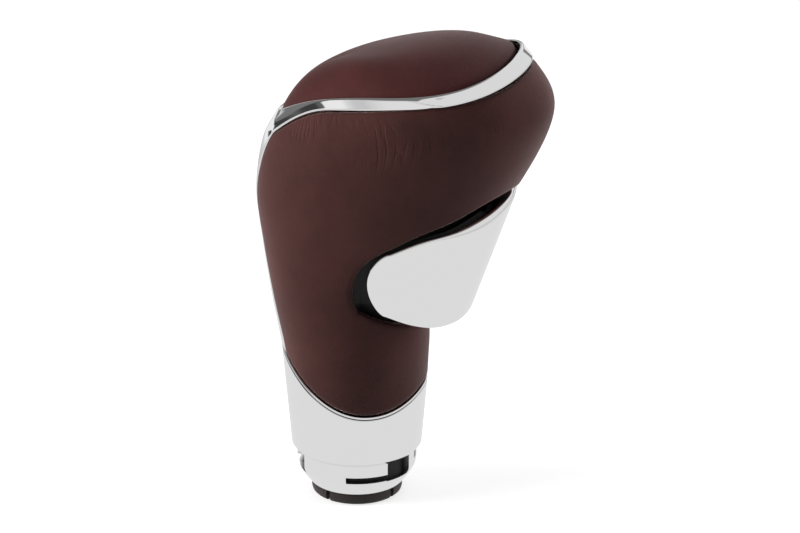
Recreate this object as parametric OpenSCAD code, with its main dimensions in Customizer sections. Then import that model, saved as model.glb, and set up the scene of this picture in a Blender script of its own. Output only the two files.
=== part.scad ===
// Gear knob of an automatic gearbox: a leather covered grip on a plated sleeve, with a plated
// squeeze trigger at the front that pushes a plunger down onto the release rod in the lever.
// Millimetres. +X points to the front of the car, +Z up. The origin is on the lever's axis,
// at the lower end of the socket ring.

/* [Sleeve and neck] */
// Diameter of the plated sleeve at its lower edge
sleeve_d = 34.6; // [33.6:0.1:36]
// Height of the sleeve's lower edge
sleeve_z = 14; // [13:0.5:15]
// Diameter of the neck where the spine trim meets the sleeve
neck_d = 39.2; // [38:0.2:41]
// Height of that level
neck_z = 42; // [40:0.5:44]
// Wall of the sleeve round the neck
sleeve_wall = 2.1; // [1.5:0.1:2.6]
// Lowest point of the curved seam between leather and sleeve
seam_z = 27.8; // [26:0.1:31]
// Place of that lowest point along the car
seam_x = 6; // [3:0.5:9]
// Rise of the seam at the back of the neck
seam_rise_rear = 14.8; // [10:0.2:15]
// Rise of the seam at the front of the neck
seam_rise_front = 4.2; // [3:0.2:8]

/* [Spigot below the sleeve] */
// Diameter of the spigot that carries the gaiter ring
spigot_d = 31.9; // [30.6:0.1:32.2]
// Diameter of the spigot's lower lip
lip_d = 24.6; // [24.2:0.1:26]
// Height of the lip's lower edge
lip_z = 3; // [2.5:0.1:3.5]
// Wall of the spigot
spigot_wall = 1.8; // [1.2:0.1:2]
// Number of bayonet slots in the spigot
slots = 3; // [2:1:4]
// Lower edge of the bayonet slots
slot_z = 7.4; // [7:0.1:8]
// Height of the slots' window
slot_h = 5.6; // [4:0.1:5.8]
// Height of the slots' narrow leg
leg_h = 1.7; // [1.2:0.1:3]
// Step up from the window's lower edge to the leg's
leg_rise = 0.3; // [0.2:0.1:0.8]
// Angle that the window covers
slot_arc = 29; // [20:1:35]
// Angle that the narrow leg covers
leg_arc = 41; // [25:1:50]
// Turn of the first bayonet slot about the axis
slot_turn = -51; // [-70:1:-40]

/* [Grip] */
// Back of the grip's waist
waist_rear_x = -22; // [-24:0.5:-21]
// Front of the grip's waist
waist_front_x = 20; // [19.5:0.5:21.5]
// Height of the waist
waist_z = 55.5; // [54:0.5:57]
// Back of the palm swell, the rearmost point
heel_x = -25.7; // [-28:0.1:-24.5]
// Height of the palm swell
heel_z = 84; // [82:0.5:87]
// Front of the throat, under the head
throat_x = 40; // [38:0.5:42]
// Front of the head, the foremost point
nose_x = 50.5; // [49:0.5:54]
// Height of the head's foremost point
nose_z = 107.5; // [106:0.5:110]
// Width of the head
head_w = 47.6; // [45:0.2:50]
// Thickness of the leather with its foam backing
leather_t = 2.1; // [1.5:0.1:2.3]

/* [Top] */
// Front end of the top trim ring
rim_front_x = 42.2; // [40:0.2:44]
// Height of the ring's front end
rim_front_z = 123; // [121:0.5:125]
// Rear end of the top trim ring
rim_rear_x = -20; // [-21:0.2:-18]
// Height of the ring's rear end
rim_rear_z = 104.8; // [103:0.2:106]
// Width scale of the ring
rim_w = 45.2; // [43:0.2:47]
// Height of the crowned pad above the ring
crown_h = 9.6; // [7:0.2:11]
// Depth of the pad's edge inside the ring
pad_edge = 2; // [1.5:0.1:2.5]
// Thickness of the plate that carries the pad
plate_t = 2; // [1.5:0.1:2.4]
// Wall of the trim ring and spine
trim_t = 2; // [1.4:0.1:2.3]
// How far the trim's face stands proud of the skin
trim_crown = 0.5; // [0.2:0.1:0.8]

/* [Trigger] */
// Wall of the plated trigger shell
trigger_t = 1.8; // [1.4:0.1:2]
// Front of the shell at its lower edge
trigger_x = 30.4; // [30:0.2:32]
// Forward lean of the shell's front, for each mm up
trigger_rake = 0.35; // [0.32:0.01:0.38]
// Width of the shell at its lower edge
trigger_w = 37.2; // [36.8:0.2:38]
// Place of the hinge pin along the car
pin_x = 24; // [23.5:0.1:24.5]
// Height of the hinge pin
pin_z = 57.5; // [57:0.1:58]
// Diameter of the hinge pin
pin_d = 3; // [2.5:0.1:3.4]
// Width of the trigger's hub on the pin
hub_w = 14.2; // [12:0.2:14.2]
// Width of the trigger's arm
arm_w = 10; // [6:0.5:11]
// Diameter of the rounded tip that presses the plunger
tip_d = 5.2; // [4:0.2:6]

/* [Lever socket] */
// Bore for the lever
lever_d = 14.2; // [12:0.1:15]
// Depth of the lever's bore
lever_depth = 36; // [32:1:38]
// Outside diameter of the socket
socket_d = 21.8; // [20:0.1:22.4]
// Diameter of the slotted ring at the socket's foot
ring_d = 24.2; // [23:0.1:24.4]
// Number of clamping fingers in that ring
fingers = 4; // [2:1:6]
// Width of the cuts between the fingers
finger_gap = 1.2; // [0.6:0.1:2]
// Depth of the cuts
finger_cut = 10; // [5:1:14]
// Wire height of the clip that grips the lever
clip_h = 6; // [3:0.5:8]

/* [Plunger] */
// Diameter of the plunger's rod
plunger_d = 6; // [5:0.1:7]
// Diameter of the plunger's head
plunger_head_d = 12; // [10.5:0.5:13]
// Lowest point of the plunger at rest
plunger_z = 41.5; // [41:0.5:43]
// Top of the plunger at rest
plunger_top = 60.5; // [60:0.1:61]
// Thickness of the plunger's head
plunger_head_t = 3; // [2:0.1:3.5]
// Wire of the plunger's spring
spring_wire = 0.8; // [0.5:0.1:0.9]
// Turns of the plunger's spring
spring_turns = 4.5; // [3:0.5:5]
// Outside diameter of the guide bush
bush_d = 9.8; // [9:0.1:10]
// Thickness of the bracket that carries the pin
bracket_t = 1.6; // [1.2:0.1:1.6]
// Thickness of the bracket's base
bracket_base = 2.4; // [1.8:0.1:3]

/* [Fits] */
// Gap between pieces that seat on each other
seat_gap = 0.15; // [0.1:0.05:0.2]
// Visible gap between trim, leather and sleeve
joint_gap = 0.3; // [0.2:0.05:0.5]
// Radial clearance of a running pin or rod
run_gap = 0.06; // [0.03:0.01:0.1]
// Radial clearance of a fixed pin
fix_gap = 0.02; // [0.01:0.01:0.03]

/* [Hidden] */
$fn = 72;
leather = "#4b3230";
chrome = "#d6d9dc";
black = "#222224";
steel = "#9a9ea3";
white_pom = "#d9d5cc";
rubber = "#2b2b2b";

sleeve_r = sleeve_d / 2;
neck_r = neck_d / 2;
flare = (neck_r - sleeve_r) / (neck_z - sleeve_z);
core_in = leather_t + 2 * seat_gap;

// Tilted slices of the grip, from the neck up to the trim ring:
// rear x, rear z, front x, front z, half width, fullness towards the front
slices = [
    [-sleeve_r, sleeve_z, sleeve_r, sleeve_z, sleeve_r, 0],
    [-(sleeve_r + neck_r) / 2, (sleeve_z + neck_z) / 2, (sleeve_r + neck_r) / 2,
        (sleeve_z + neck_z) / 2, (sleeve_r + neck_r) / 2, 0],
    [-neck_r, neck_z, neck_r - 0.4, neck_z, neck_r, 0],
    [waist_rear_x, waist_z, waist_front_x, waist_z, trigger_w / 2 + 1, 0.02],
    [-24.2, 70, 27, 68, trigger_w / 2 + 1.8, 0.05],
    [heel_x, heel_z, throat_x, 84, trigger_w / 2 + 3.4, 0.08],
    [-23.8, 97, nose_x, nose_z, head_w / 2, 0.2],
    [rim_rear_x, rim_rear_z, rim_front_x, rim_front_z, rim_w / 2, 0.5]];
levels = [for (k = [0:5]) [for (s = slices) s[k]]];
top_u = len(slices) - 1;
rim_slope = (rim_front_z - rim_rear_z) / (rim_front_x - rim_rear_x);
apex = [0, 0, rim_rear_z - rim_slope * rim_rear_x];

// A smooth curve through evenly spaced values, read at u
function smooth_value(v, u) =
    let (n = len(v), i = min(max(floor(u), 0), n - 2), f = u - i, b = v[i], c = v[i + 1],
        a = i > 0 ? v[i - 1] : 2 * b - c, d = i < n - 2 ? v[i + 2] : 2 * c - b)
    (2 * b + (c - a) * f + (2 * a - 5 * b + 4 * c - d) * f * f
        + (3 * b - a - 3 * c + d) * f * f * f) / 2;
function ease(f) = let (g = min(max(f, 0), 1)) g * g * (3 - 2 * g);
function mix(a, b, f) = a + (b - a) * f;

// Skin of the grip: u counts the slices, t is the angle round them, 0 at the front
function skin(u, t) =
    let (p = [for (k = [0:5]) smooth_value(levels[k], u)], q = (1 + cos(t)) / 2)
    [mix(p[0], p[2], q), p[4] * sin(t) * (1 + p[5] * cos(t)),
        mix(p[1], p[3], q) + ease((u - 5.5) / 1.5) * rim_wave(t)];
// Rise and fall of the trim ring from its own plane
function rim_wave(t) = sin(t) * sin(t) * (1.1 - 5.3 * cos(t));
function unit(v) = v / norm(v);
function skin_normal(u, t) =
    let (e = 0.05, lo = max(u - e, 0), hi = min(u + e, top_u))
    unit(cross(skin(u, t + 2) - skin(u, t - 2), skin(hi, t) - skin(lo, t)));
// The skin moved inwards by d
function under(u, t, d) = skin(u, t) - d * skin_normal(u, t);
// Upper edge of the trim ring moved inwards by d
function rim(t, d) =
    let (a = skin(top_u, t + 2) - skin(top_u, t - 2), n = unit([a[1], -a[0], 0]))
    skin(top_u, t) - d * (n + [0, 0, rim_slope * n[0]]);
// The crowned top: s runs from 1 at the pad's edge to 0 at the apex
function crown(s, t) =
    mix(apex, rim(t, pad_inset), s)
        + [0, 0, rim_wave(t) * (s * s - s) + crown_h * (1 - pow(s, 3))];

// Height of the seam between leather and sleeve, over x and round the neck
function seam_at(x) = seam_z + (x < seam_x
    ? seam_rise_rear * pow((seam_x - x) / (seam_x + 18.7), 2)
    : seam_rise_front * pow((x - seam_x) / (18.3 - seam_x), 2.3));
function neck_radius(z) = sleeve_r + flare * (z - sleeve_z);
function seam_height(t) =
    let (a = seam_at(0.5 * (sleeve_r + neck_r) * cos(t))) seam_at(neck_radius(a) * cos(t));
function seam_u(t, gap) = 2 * (seam_height(t) + gap - sleeve_z) / (neck_z - sleeve_z);

// Half angle of the spine trim at the back, over u
function spine_half(u) = smooth_value([19.5, 12, 10, 10.5, 18.5, 34], u - 2);
spine_top_u = 6.25;
spine_top_half = 22;
// Lower edge of the trim ring round the head
function ring_low(t) =
    let (a = abs(t > 180 ? t - 360 : t))
    6.75 - (a > 120 ? 0.5 * pow(min(a - 120, 38) / 38, 1.9) : 0);

// Half angle of the trigger's wrap, and the opening in the leather for the trigger
wing_f = 78;
open_t = wing_f;
open_bulge = 7.5;
open_low = 3.12;
open_high = 4.3;
function opening_low(t) = open_low - 0.52 * (1 - pow(min(abs(t) / open_t, 1), 2));
function opening_high(t) = open_high + 0.88 * (1 - pow(min(abs(t) / open_t, 1), 2.8));

// Rows and columns of the leather, with the opening on whole rows and columns
rows_low = 8;
rows_open = 9;
rows_high = 10;
cols_open = 13;
cols_side = 10;
rows_all = rows_low + rows_open + rows_high;
cols_half = cols_open + cols_side;
open_box = [rows_low, rows_low + rows_open, cols_side, cols_side + 2 * cols_open];

// Place [u, t] of a row and column; rear is the angle at which the columns end
function grid_edge(i) = i < rows_low || i > rows_low + rows_open ? open_t
    : open_t + open_bulge * pow(abs(sin(180 * (i - rows_low) / rows_open)), 0.75);
function side_u(i) = i < rows_low ? mix(2.05, open_low, i / rows_low)
    : i < rows_low + rows_open ? mix(open_low, open_high, (i - rows_low) / rows_open)
    : mix(open_high, spine_top_u, (i - rows_low - rows_open) / rows_high);
function grid_t(i, j, rear) =
    let (k = abs(j - cols_half), e = grid_edge(i))
    sign(j - cols_half) * (k <= cols_open ? e * k / cols_open
        : mix(e, rear, (k - cols_open) / cols_side));
function grid_u(i, t, low, high) = i < rows_low ? mix(low, opening_low(t), i / rows_low)
    : i < rows_low + rows_open
    ? mix(opening_low(t), opening_high(t), (i - rows_low) / rows_open)
    : mix(opening_high(t), high, (i - rows_low - rows_open) / rows_high);
// Angle covered by a gap on the skin
function gap_angle(gap) = gap / 20 * 57.3;
function leather_place(i, j) =
    let (rear = 180 - min(spine_half(side_u(i)), spine_top_half) - gap_angle(joint_gap),
        t = grid_t(i, j, rear))
    [grid_u(i, t, seam_u(t, joint_gap), ring_low(t) - joint_gap / 14), t];

// A closed wall between two grids of points. Cells in the box hole are left open,
// and with ring the last column joins the first.
module wall(outer, inner, hole = [0, 0, 0, 0], ring = false) {
    m = len(outer);
    n = len(outer[0]);
    function kept(i, j) =
        let (c = ring ? (j + n) % n : j)
        i >= 0 && i < m - 1 && c >= 0 && (ring || c < n - 1)
            && !(i >= hole[0] && i < hole[1] && c >= hole[2] && c < hole[3]);
    function id(i, j) = i * n + (ring ? (j + n) % n : j);
    function quad(a, b, c, d) = [[a, b, c], [a, c, d]];
    k = m * n;
    faces = [for (i = [0:m - 2], j = [0:ring ? n - 1 : n - 2]) if (kept(i, j))
        let (a = id(i, j), b = id(i, j + 1), c = id(i + 1, j + 1), d = id(i + 1, j))
        each concat(
            quad(a, d, c, b), quad(a + k, b + k, c + k, d + k),
            kept(i - 1, j) ? [] : quad(a, b, b + k, a + k),
            kept(i + 1, j) ? [] : quad(c, d, d + k, c + k),
            kept(i, j - 1) ? [] : quad(d, a, a + k, d + k),
            kept(i, j + 1) ? [] : quad(b, c, c + k, b + k))];
    polyhedron(points = [for (g = [outer, inner]) for (r = g) each r], faces = faces);
}

// A closed body through a stack of rings, capped at both ends towards a middle point
module stack(rings, low, high) {
    m = len(rings);
    n = len(rings[0]);
    centre = [is_undef(low) ? middle(rings[0]) : low,
        is_undef(high) ? middle(rings[m - 1]) : high];
    k = m * n;
    faces = concat(
        [for (i = [0:m - 2], j = [0:n - 1])
            let (a = i * n + j, b = i * n + (j + 1) % n) each [[a, a + n, b + n], [a, b + n, b]]],
        [for (j = [0:n - 1]) [j, (j + 1) % n, k]],
        [for (j = [0:n - 1]) [(m - 1) * n + (j + 1) % n, (m - 1) * n + j, k + 1]]);
    polyhedron(points = concat([for (r = rings) each r], centre), faces = faces);
}

function middle(ring) = [for (p = ring) 1] * ring / len(ring);

// Trigger's outer face: f is the angle round the wrap, 0 at the front, z the height
trigger_low_z = 53.8;
wrap_x = 4.7;
function trigger_face(f, z, inset) =
    let (r = pow(pow(abs(cos(f)), 3) + pow(abs(sin(f)), 3), -1 / 3),
        front = trigger_x + trigger_rake * (z - trigger_low_z) - inset,
        half = trigger_w / 2 + 0.1 * (z - trigger_low_z) - inset)
    [wrap_x + (front - wrap_x) * r * cos(f), half * r * sin(f), z];
trigger_rows = 10;
trigger_cols = 26;
wing_bulge = 10.3;
function trigger_place(i, j) =
    let (b = i / trigger_rows, edge = wing_f + wing_bulge * pow(sin(180 * b), 0.6),
        f = edge * (2 * j / trigger_cols - 1), k = min(abs(f) / wing_f, 1) * 6)
    [f, mix(smooth_value([55.2, 54.9, 54, 53.2, 53, 54.1, 56.2], k), trigger_top(f), b)];
function trigger_top(f) =
    smooth_value([86.6, 86.2, 85.1, 82.9, 80.8, 78.3, 73.9], min(abs(f) / wing_f, 1) * 6);

// Floor of the recess behind the trigger, with room for its travel of 7 degrees
recess_wrap_x = 3.4;
recess_low = [17.5, trigger_low_z];
recess_high = [34.5, 89.5];
recess_half = [trigger_w / 2 - trigger_t - 2.1, trigger_w / 2 - trigger_t + 2.8];
function recess_floor(f, b) =
    let (r = pow(pow(abs(cos(f)), 3) + pow(abs(sin(f)), 3), -1 / 3),
        z = mix(recess_low[1], recess_high[1], b), front = mix(recess_low[0], recess_high[0], b),
        half = mix(recess_half[0], recess_half[1], sqrt(b)))
    [mix(recess_wrap_x, front, r * cos(f)), half * r * sin(f), z];

// Moulded core of the grip
skirt_r = spigot_d / 2 - spigot_wall - seat_gap;
skirt_z = slot_z - 1;
pocket_half = hub_w / 2 + 0.2 + bracket_t + 0.3;
function core_point(i, j) =
    let (t = grid_t(i, j, 180), in_open = i > open_box[0] && i < open_box[1]
            && j > open_box[2] && j < open_box[3])
    in_open ? recess_floor(90 * (j - cols_half) / (cols_open - 1),
            (i - rows_low - 1) / (rows_open - 2))
        : under(grid_u(i, t, 1.2, 6.6 - 0.17 * (1 - cos(t))), t, core_in);
module grip_core() {
    color(black) difference() {
        stack(concat(
            [for (z = [skirt_z, sleeve_z + seat_gap]) [for (j = [0:2 * cols_half - 1])
                let (t = grid_t(0, j, 180)) [skirt_r * cos(t), skirt_r * sin(t), z]]],
            [[for (j = [0:2 * cols_half - 1]) under(0, grid_t(0, j, 180), core_in)
                + [0, 0, 0.4]]],
            [for (i = [0:rows_all]) [for (j = [0:2 * cols_half - 1]) core_point(i, j)]],
            [[for (j = [0:2 * cols_half - 1])
                pad_seat(0.9, grid_t(rows_all, j, 180), core_drop)]]),
            high = apex - [0, 0, core_drop]);
        translate([0, 0, skirt_z - 1])
            cylinder(h = socket_top - skirt_z + 1, d = socket_d + 2 * seat_gap);
        rotate([90, 0, 0]) linear_extrude(2 * pocket_half, center = true)
            polygon([[-12, socket_top], [13.4, socket_top], [13.4, 49.2], [16.2, 53.5],
                [60, 53.5], [60, 88], [22, 88], [3, ceiling_z], [-12, ceiling_z]]);
    }
}
socket_top = 46;
ceiling_z = 69;
core_drop = pad_edge + plate_t + 2 * seat_gap;

// Leather over foam, wrapped round the core from the spine trim
module leather_wrap() {
    places = [for (i = [0:rows_all]) [for (j = [0:2 * cols_half]) leather_place(i, j)]];
    color(leather) wall(
        [for (r = places) [for (p = r) skin(p[0], p[1])]],
        [for (r = places) [for (p = r) under(p[0], p[1], leather_t)]], open_box);
}

// Plated trim in one piece: the ring round the top and the spine down the back
spine_rows = 14;
spine_cols = 4;
ring_rows = 3;
ring_cols = 44;
function bow_place(i, j) =
    let (c = 2 * j / spine_cols - 1, on_spine = j <= spine_cols,
        t = on_spine ? 180 + spine_top_half * c
            : mix(180 + spine_top_half, 540 - spine_top_half, (j - spine_cols) / ring_cols))
    i >= spine_rows
        ? [mix(ring_low(t), top_u, (i - spine_rows) / ring_rows), t]
        : on_spine
        ? let (side = mix(2.05, spine_top_u, i / spine_rows), a = 180 + spine_half(side) * c)
            [mix(seam_u(a, joint_gap), spine_top_u, i / spine_rows), a]
        : [ring_low(t), t];
module trim_bow() {
    places = [for (i = [0:spine_rows + ring_rows])
        [for (j = [0:spine_cols + ring_cols - 1]) bow_place(i, j)]];
    function proud(i) = i <= spine_rows ? 0 : trim_crown * sin(180 * (i - spine_rows) / ring_rows);
    function depth(i) = i <= spine_rows ? trim_t : mix(trim_t, 0.9, (i - spine_rows) / ring_rows);
    color(chrome) wall(
        [for (i = [0:len(places) - 1]) [for (p = places[i]) under(p[0], p[1], -proud(i))]],
        [for (i = [0:len(places) - 1]) [for (p = places[i]) under(p[0], p[1], depth(i))]],
        [0, spine_rows, spine_cols, spine_cols + ring_cols], true);
}

// Leather covered pad in the ring, and the plate that it sits on
pad_inset = 1.1;
pad_cols = 44;
// The underside of the pad, and what lies parallel to it, out to the share s of its width
function pad_seat(s, t, drop) = mix(apex, rim(t, pad_inset + 1), s) - [0, 0, drop];
module crown_pad() {
    color(leather) stack(concat(
        [[for (j = [0:pad_cols - 1]) pad_seat(1, 360 * j / pad_cols, pad_edge)]],
        [for (s = [1, 0.93, 0.82, 0.67, 0.5, 0.33, 0.16]) [for (j = [0:pad_cols - 1])
            crown(s, 360 * j / pad_cols)]]),
        apex - [0, 0, pad_edge], apex + [0, 0, crown_h]);
}
module pad_carrier() {
    color(black) stack([for (d = [plate_t, 0]) [for (j = [0:pad_cols - 1])
        pad_seat(0.955, 360 * j / pad_cols, pad_edge + seat_gap + d)]],
        apex - [0, 0, pad_edge + seat_gap + plate_t], apex - [0, 0, pad_edge + seat_gap]);
}

// Plated sleeve with the spigot for the gaiter ring
module sleeve() {
    inner_r = spigot_d / 2 - spigot_wall;
    top = 50;
    color(chrome) difference() {
        rotate_extrude() polygon([
            [socket_d / 2 + seat_gap, lip_z],
            [lip_d / 2, lip_z], [lip_d / 2 + 0.9, lip_z + 1.6], [spigot_d / 2 - 1.3, lip_z + 3.4],
            [spigot_d / 2, sleeve_z - 5.4], [spigot_d / 2, sleeve_z - 1.4],
            [sleeve_r - 0.6, sleeve_z - 0.5], [sleeve_r, sleeve_z],
            [neck_radius(top), top], [neck_radius(top) - sleeve_wall, top],
            [neck_radius(sleeve_z) - sleeve_wall, sleeve_z], [inner_r, sleeve_z],
            [inner_r, skirt_z - seat_gap], [socket_d / 2 + seat_gap, skirt_z - seat_gap - 1.4]]);
        rotate([90, 0, 0]) linear_extrude(3 * neck_d, center = true) polygon(concat(
            [for (k = [0:32]) let (x = -neck_d + neck_d * k / 16) [x, seam_at(x)]],
            [[neck_d, 4 * neck_d], [-neck_d, 4 * neck_d]]));
        for (k = [0:slots - 1]) rotate([0, 0, slot_turn + 360 * k / slots]) {
            sector(slot_z, slot_h, slot_arc);
            rotate([0, 0, -leg_arc]) sector(slot_z + leg_rise, leg_h, leg_arc + 1);
        }
        rotate([0, 0, -10]) sector(slot_z + 3, slot_h - 3, 20);
    }
}
// A wedge of the given height and angle that starts at the x axis
module sector(z, h, arc) {
    r = sleeve_d;
    translate([0, 0, z]) linear_extrude(h) polygon([[0, 0], [r, 0],
        [r * cos(arc / 2) * 1.2, r * sin(arc / 2) * 1.2], [r * cos(arc), r * sin(arc)]]);
}

// Socket that takes the lever, with clamping fingers at its foot
passage_r = plunger_d / 2 + 1.2;
clip_z = 22;
clip_depth = 1.4;
module lever_socket() {
    color(black) difference() {
        rotate_extrude() polygon([
            [lever_d / 2, 0], [ring_d / 2 - 0.9, 0], [ring_d / 2 - 0.3, 0.4], [ring_d / 2, 1.1],
            [ring_d / 2, lip_z - seat_gap], [socket_d / 2, lip_z - seat_gap],
            [socket_d / 2, socket_top - 0.6], [socket_d / 2 - 0.6, socket_top],
            [bush_d / 2 + fix_gap, socket_top], [bush_d / 2 + fix_gap, bush_z - seat_gap],
            [passage_r, bush_z - seat_gap], [passage_r, lever_depth], [lever_d / 2, lever_depth],
            [lever_d / 2, clip_z + clip_h + 0.2], [lever_d / 2 + clip_depth, clip_z + clip_h + 0.2],
            [lever_d / 2 + clip_depth, clip_z - 0.2], [lever_d / 2, clip_z - 0.2]]);
        for (k = [0:fingers - 1]) rotate([0, 0, -31 + 360 * k / fingers])
            translate([lever_d / 2 - 1, -finger_gap / 2, -1])
                cube([ring_d / 2, finger_gap, finger_cut + 1]);
        for (y = [-1, 1]) translate([screw_x, y * screw_y, socket_top - screw_l])
            cylinder(h = screw_l + 1, d = screw_d + 2 * fix_gap);
    }
}

// Sprung steel clip in the socket's groove
module lever_clip() {
    color(steel) difference() {
        translate([0, 0, clip_z]) difference() {
            cylinder(h = clip_h, r = lever_d / 2 + clip_depth - 0.1);
            translate([0, 0, -1]) cylinder(h = clip_h + 2, r = lever_d / 2 + 0.5);
        }
        translate([0, -2, clip_z - 1]) cube([lever_d, 4, clip_h + 2]);
    }
}

// Guide bush of the plunger
bush_z = socket_top - 2.8;
bush_flange = 1;
base_top = socket_top + bracket_base;
module guide_bush() {
    r_in = plunger_d / 2 + run_gap;
    color(white_pom) rotate_extrude() polygon([
        [r_in, bush_z], [bush_d / 2, bush_z], [bush_d / 2, base_top],
        [bush_d / 2 + 1, base_top], [bush_d / 2 + 1, base_top + bush_flange],
        [r_in, base_top + bush_flange]]);
}

// Folded bracket that carries the hinge pin
hub_r = pin_d / 2 + 2.1;
screw_x = -6.6;
screw_y = 6;
screw_d = 2.4;
screw_l = 8;
module trigger_bracket() {
    side_in = hub_w / 2 + 0.2;
    color(steel) difference() {
        union() {
            translate([-11.5, -side_in - bracket_t, socket_top])
                cube([24.5, 2 * (side_in + bracket_t), bracket_base]);
            for (y = [-side_in - bracket_t, side_in]) translate([0, y + bracket_t, 0])
                rotate([90, 0, 0]) linear_extrude(bracket_t) union() {
                    polygon([[-3, socket_top + 1], [13, socket_top + 1], [13, base_top + 1],
                        [16, pin_z - hub_r], [pin_x, pin_z - hub_r], [pin_x, pin_z + hub_r],
                        [13, pin_z - 1], [3, base_top + 2], [-3, base_top + 2]]);
                    translate([pin_x, pin_z]) circle(hub_r);
                }
        }
        translate([0, 0, socket_top - 1])
            cylinder(h = bracket_base + 2, r = bush_d / 2 + fix_gap);
        for (y = [-1, 1]) translate([screw_x, y * screw_y, socket_top - 1])
            cylinder(h = bracket_base + 2, d = screw_d + 2 * seat_gap);
        pin_bore(2 * fix_gap);
    }
}
module pin_bore(gap) {
    translate([pin_x, 0, pin_z]) rotate([90, 0, 0])
        cylinder(h = 3 * hub_w, d = pin_d + gap, center = true);
}
module bracket_screws() {
    head_h = 1.6;
    color(steel) for (y = [-1, 1]) translate([screw_x, y * screw_y, 0]) difference() {
        union() {
            translate([0, 0, socket_top - screw_l + 0.5])
                cylinder(h = screw_l - 0.5 + bracket_base, d = screw_d);
            translate([0, 0, base_top]) cylinder(h = head_h, d1 = 4.4, d2 = 3.6);
        }
        translate([0, 0, base_top + head_h - 0.8]) cylinder(h = 1, d = 1.8, $fn = 6);
    }
}

// Hinge pin with a groove at each end, and the two retaining clips in them
clip_y = hub_w / 2 + 0.2 + bracket_t + 0.1;
clip_t = 0.6;
module trigger_pin() {
    groove_r = pin_d / 2 - 0.35;
    half = clip_y + clip_t + 0.9;
    color(steel) translate([pin_x, 0, pin_z]) rotate([90, 0, 0]) rotate_extrude()
        polygon(concat([[0, -half], [pin_d / 2 - 0.3, -half], [pin_d / 2, -half + 0.3]],
            [for (s = [-1, 1]) each [
                [pin_d / 2, s * (clip_y + (s < 0 ? clip_t : 0)) - 0.05],
                [groove_r, s * (clip_y + (s < 0 ? clip_t : 0)) - 0.05],
                [groove_r, s * (clip_y + (s < 0 ? 0 : clip_t)) + 0.05],
                [pin_d / 2, s * (clip_y + (s < 0 ? 0 : clip_t)) + 0.05]]],
            [[pin_d / 2, half - 0.3], [pin_d / 2 - 0.3, half], [0, half]]));
}
module pin_clips() {
    color(steel) for (y = [clip_y, -clip_y - clip_t])
        translate([pin_x, y + clip_t, pin_z]) rotate([90, 0, 0]) linear_extrude(clip_t)
            difference() {
                circle(pin_d / 2 + 1.3);
                circle(pin_d / 2 - 0.3);
                translate([0, pin_d]) square([pin_d - 1, 2 * pin_d], center = true);
            }
}

// Rubber stop above the arm's tip
tip_z = plunger_top + 0.15 + tip_d / 2;
module arm_bumper() {
    color(rubber) translate([-1, 0, tip_z + tip_d / 2 + 0.2])
        cylinder(h = ceiling_z - tip_z - tip_d / 2 - 0.3, d = 7);
}

// Plated shell of the trigger
module trigger_shell() {
    places = [for (i = [0:trigger_rows]) [for (j = [0:trigger_cols]) trigger_place(i, j)]];
    color(chrome) wall(
        [for (r = places) [for (p = r) trigger_face(p[0], p[1], 0)]],
        [for (r = places) [for (p = r) trigger_face(p[0], p[1], trigger_t)]]);
}

// Moulded carrier clipped inside the shell: hub, pressing arm, front column, ribs and the
// lip that closes the shell's upper edge
module trigger_carrier() {
    gap = 0.35;
    function back(z) = trigger_x + trigger_rake * (z - trigger_low_z) - trigger_t - gap;
    col_low = pin_z - 1;
    col_high = trigger_top(0) - 2.1;
    col_t = 3;
    color(black) difference() {
        union() {
            rotate([90, 0, 0]) linear_extrude(arm_w, center = true) union() {
                polygon([[back(col_low), col_low], [back(col_high), col_high],
                    [back(col_high) - col_t, col_high], [back(pin_z + 8.5) - col_t, pin_z + 8.5],
                    [back(pin_z + 6.5) - col_t - 3, pin_z + hub_r], [pin_x, pin_z],
                    [pin_x + 1, pin_z - 2.2]]);
                polygon([[0, tip_z - tip_d / 2], [plunger_head_d / 2 + 1.5, tip_z - tip_d / 2],
                    [pin_x, pin_z - hub_r + 0.6],
                    [pin_x, pin_z + hub_r], [0, tip_z + tip_d / 2]]);
                translate([0, tip_z]) circle(d = tip_d);
            }
            translate([pin_x, 0, pin_z]) rotate([90, 0, 0])
                cylinder(h = hub_w, r = hub_r - 0.1, center = true);
            for (z = [6.5, 16.5]) carrier_rib(pin_z + z, gap);
            carrier_lip(gap);
        }
        pin_bore(2 * run_gap);
    }
}
// A flat rib that follows the inside of the shell's wrap
module carrier_rib(z, gap) {
    rib_t = 1.6;
    depth = 4.5;
    front = trigger_x + trigger_rake * (z - trigger_low_z) - trigger_t - gap;
    translate([0, 0, z]) linear_extrude(rib_t) polygon(concat(
        [for (f = [-52:4:52]) let (p = trigger_face(f, z, trigger_t + gap)) [p[0], p[1]]],
        [[front - depth, 9], [front - depth, -9]]));
}
// A shelf just below the shell's upper edge
module carrier_lip(gap) {
    reach = 50;
    steps = 20;
    function lip(drop) = [for (i = [0:1]) [for (k = [0:steps])
        let (f = mix(-reach, reach, k / steps))
        trigger_face(f, trigger_top(f) - drop, trigger_t + gap + 3.2 * i * cos(1.5 * f))]];
    wall(lip(1.2), lip(2.7));
}

// Plunger with its head, and the spring that returns it
module plunger() {
    r = plunger_d / 2;
    hr = plunger_head_d / 2;
    under_head = plunger_top - plunger_head_t;
    color(white_pom) rotate_extrude() polygon([
        [0, plunger_z], [r - 0.6, plunger_z], [r, plunger_z + 0.6], [r, under_head],
        [hr, under_head], [hr, plunger_top - 1], [hr - 1, plunger_top - 0.3],
        [hr - 3, plunger_top], [0, plunger_top]]);
}
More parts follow.
